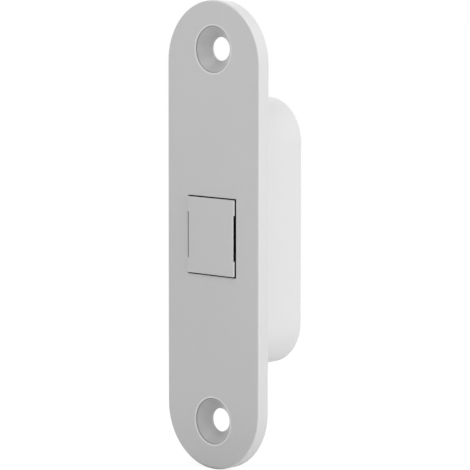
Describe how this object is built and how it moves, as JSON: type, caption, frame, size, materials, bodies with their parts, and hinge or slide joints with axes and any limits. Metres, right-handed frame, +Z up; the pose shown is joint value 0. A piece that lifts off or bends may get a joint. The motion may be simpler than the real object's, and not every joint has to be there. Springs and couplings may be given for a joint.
{
  "type": "cupboard catch latch",
  "caption": "Flush cupboard catch: a round-ended, countersunk face plate with a small sprung magnetic nose that gives way into a round-ended mortise housing.",
  "frame": {"origin": "centre of the face plate's back face, midway between the two screw holes", "axes": "+Z up along the line of the two screw holes, +Y from front to back, into the cabinet, +X to the right seen from the front"},
  "size_m": [0.022, 0.0153, 0.0832],
  "materials": {
    "plate_finish": "satin grey lacquer on cast zinc",
    "nose_finish": "satin grey lacquer on cast zinc",
    "housing_plastic": "fine moulded satin",
    "carrier_plastic": "smooth moulded",
    "magnet_ceramic": "dark pressed ferrite",
    "pole_steel": "blanked steel",
    "pin_steel": "ground steel",
    "spring_steel": "drawn wire",
    "screw_steel": "zinc plated",
    "stop_rubber": "matt black"
  },
  "bodies": {
    "body": {"face_plate": "plate_finish", "housing": "housing_plastic", "guide_pin_upper": "pin_steel", "guide_pin_lower": "pin_steel", "return_spring_upper": "spring_steel", "return_spring_lower": "spring_steel", "stop_washer_upper": "stop_rubber", "stop_washer_lower": "stop_rubber", "housing_screw_upper": "screw_steel", "housing_screw_lower": "screw_steel"},
    "nose": {"nose_cap": "nose_finish", "magnet_carrier": "carrier_plastic", "magnet": "magnet_ceramic", "pole_plate_left": "pole_steel", "pole_plate_right": "pole_steel", "cap_screw_upper": "screw_steel", "cap_screw_lower": "screw_steel"}
  },
  "joints": [
    {"name": "nose_slide", "type": "slide", "parent": "body", "child": "nose", "axis": [0, 1, 0], "range_m": [0, 0.004], "stiffness_N_per_m": 1300, "springref_m": -0.003, "deforming": ["return_spring_upper", "return_spring_lower"]}
  ]
}
